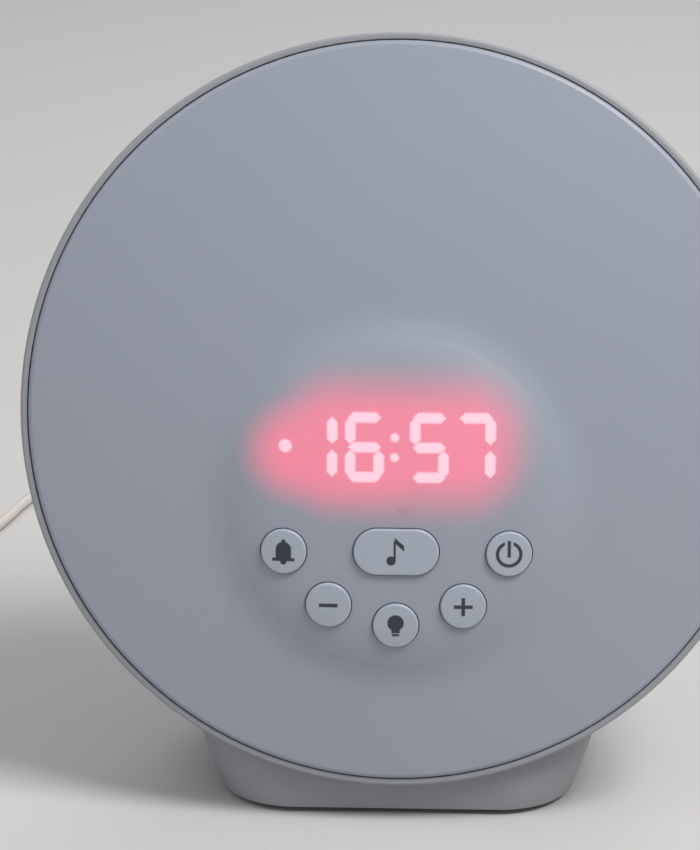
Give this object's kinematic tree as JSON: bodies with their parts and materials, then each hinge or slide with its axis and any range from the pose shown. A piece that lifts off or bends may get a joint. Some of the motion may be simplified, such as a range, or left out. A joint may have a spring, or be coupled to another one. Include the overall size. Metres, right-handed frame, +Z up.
{
  "type": "sunrise alarm clock",
  "caption": "Round tilted wake-up light and alarm clock with a domed opal face, time display, push buttons on a raised boss, a short foot and a coiled power lead.",
  "frame": {"origin": "on the table, under the middle of the clock without its power lead", "axes": "+Z up, the face looks towards -Y, +X to the viewer's right"},
  "size_m": [0.262, 0.2463, 0.1762],
  "materials": {
    "opal": "satin opal",
    "housing_white": "satin",
    "base_grey": "fine texture",
    "pad_rubber": "matte",
    "cap_white": "satin",
    "switch_black": "matte",
    "display_black": "matte",
    "segment_pink": "lit",
    "board_green": "solder mask",
    "lamp_board_white": "white solder mask",
    "plug_cream": "satin",
    "tray_black": "matte",
    "screw_steel": "zinc plated",
    "reflector_white": "gloss",
    "spreader_metal": "brushed",
    "led_white": "gloss",
    "led_amber": "gloss",
    "gasket_foam": "foam",
    "basket_black": "satin",
    "cone_paper": "paper",
    "magnet_dark": "plated",
    "chip_black": "matte",
    "ferrite_grey": "ferrite",
    "can_metal": "satin",
    "contact_brass": "plated",
    "cell_steel": "polished",
    "wire_grey": "satin",
    "cord_white": "soft satin",
    "tie_black": "matte",
    "usb_metal": "bright"
  },
  "bodies": {
    "body": {"alarm_switch": "switch_black", "base_plate": "base_grey", "base_screws": "screw_steel", "battery_door": "base_grey", "board_screws": "screw_steel", "cable_plugs": "plug_cream", "capacitors": "can_metal", "coil_tie": "tie_black", "coin_cell": "cell_steel", "coin_cell_holder": "plug_cream", "control_board": "board_green", "control_cable": "wire_grey", "control_screws": "screw_steel", "control_tray": "tray_black", "cord_coil": "cord_white", "cord_relief": "cord_white", "cord_tail": "cord_white", "dc_socket": "chip_black", "display_module": "display_black", "display_segments": "segment_pink", "foot_pad_back_left": "pad_rubber", "foot_pad_back_right": "pad_rubber", "foot_pad_front_left": "pad_rubber", "foot_pad_front_right": "pad_rubber", "front_diffuser": "opal", "heat_spreader": "spreader_metal", "housing_screws": "screw_steel", "lamp_board": "lamp_board_white", "lamp_cable": "wire_grey", "lamp_leds": "led_white", "lamp_screws": "screw_steel", "light_switch": "switch_black", "main_board": "board_green", "minus_switch": "switch_black", "plus_switch": "switch_black", "power_cord": "cord_white", "power_inductor": "ferrite_grey", "power_plug": "cord_white", "power_switch": "switch_black", "processor": "chip_black", "rear_housing": "housing_white", "reflector": "reflector_white", "snooze_switch": "switch_black", "socket_pin": "contact_brass", "speaker_cable": "wire_grey", "speaker_cone": "cone_paper", "speaker_frame": "basket_black", "speaker_gasket": "gasket_foam", "speaker_magnet": "magnet_dark", "speaker_screws": "screw_steel", "sunrise_leds": "led_amber", "usb_plug": "cord_white", "usb_shell": "usb_metal"},
    "alarm_button": {"alarm_button": "cap_white"},
    "minus_button": {"minus_button": "cap_white"},
    "light_button": {"light_button": "cap_white"},
    "plus_button": {"plus_button": "cap_white"},
    "power_button": {"power_button": "cap_white"},
    "snooze_button": {"snooze_button": "cap_white"}
  },
  "joints": [
    {"name": "alarm_button_push", "type": "slide", "parent": "body", "child": "alarm_button", "axis": [0, 0.9881, -0.1541], "range_m": [0, 0.0008], "stiffness_N_per_m": 400, "springref_m": -0.0003},
    {"name": "minus_button_push", "type": "slide", "parent": "body", "child": "minus_button", "axis": [0, 0.9881, -0.1541], "range_m": [0, 0.0008], "stiffness_N_per_m": 400, "springref_m": -0.0003},
    {"name": "light_button_push", "type": "slide", "parent": "body", "child": "light_button", "axis": [0, 0.9881, -0.1541], "range_m": [0, 0.0008], "stiffness_N_per_m": 400, "springref_m": -0.0003},
    {"name": "plus_button_push", "type": "slide", "parent": "body", "child": "plus_button", "axis": [0, 0.9881, -0.1541], "range_m": [0, 0.0008], "stiffness_N_per_m": 400, "springref_m": -0.0003},
    {"name": "power_button_push", "type": "slide", "parent": "body", "child": "power_button", "axis": [0, 0.9881, -0.1541], "range_m": [0, 0.0008], "stiffness_N_per_m": 400, "springref_m": -0.0003},
    {"name": "snooze_button_push", "type": "slide", "parent": "body", "child": "snooze_button", "axis": [0, 0.9881, -0.1541], "range_m": [0, 0.0008], "stiffness_N_per_m": 400, "springref_m": -0.0003}
  ]
}
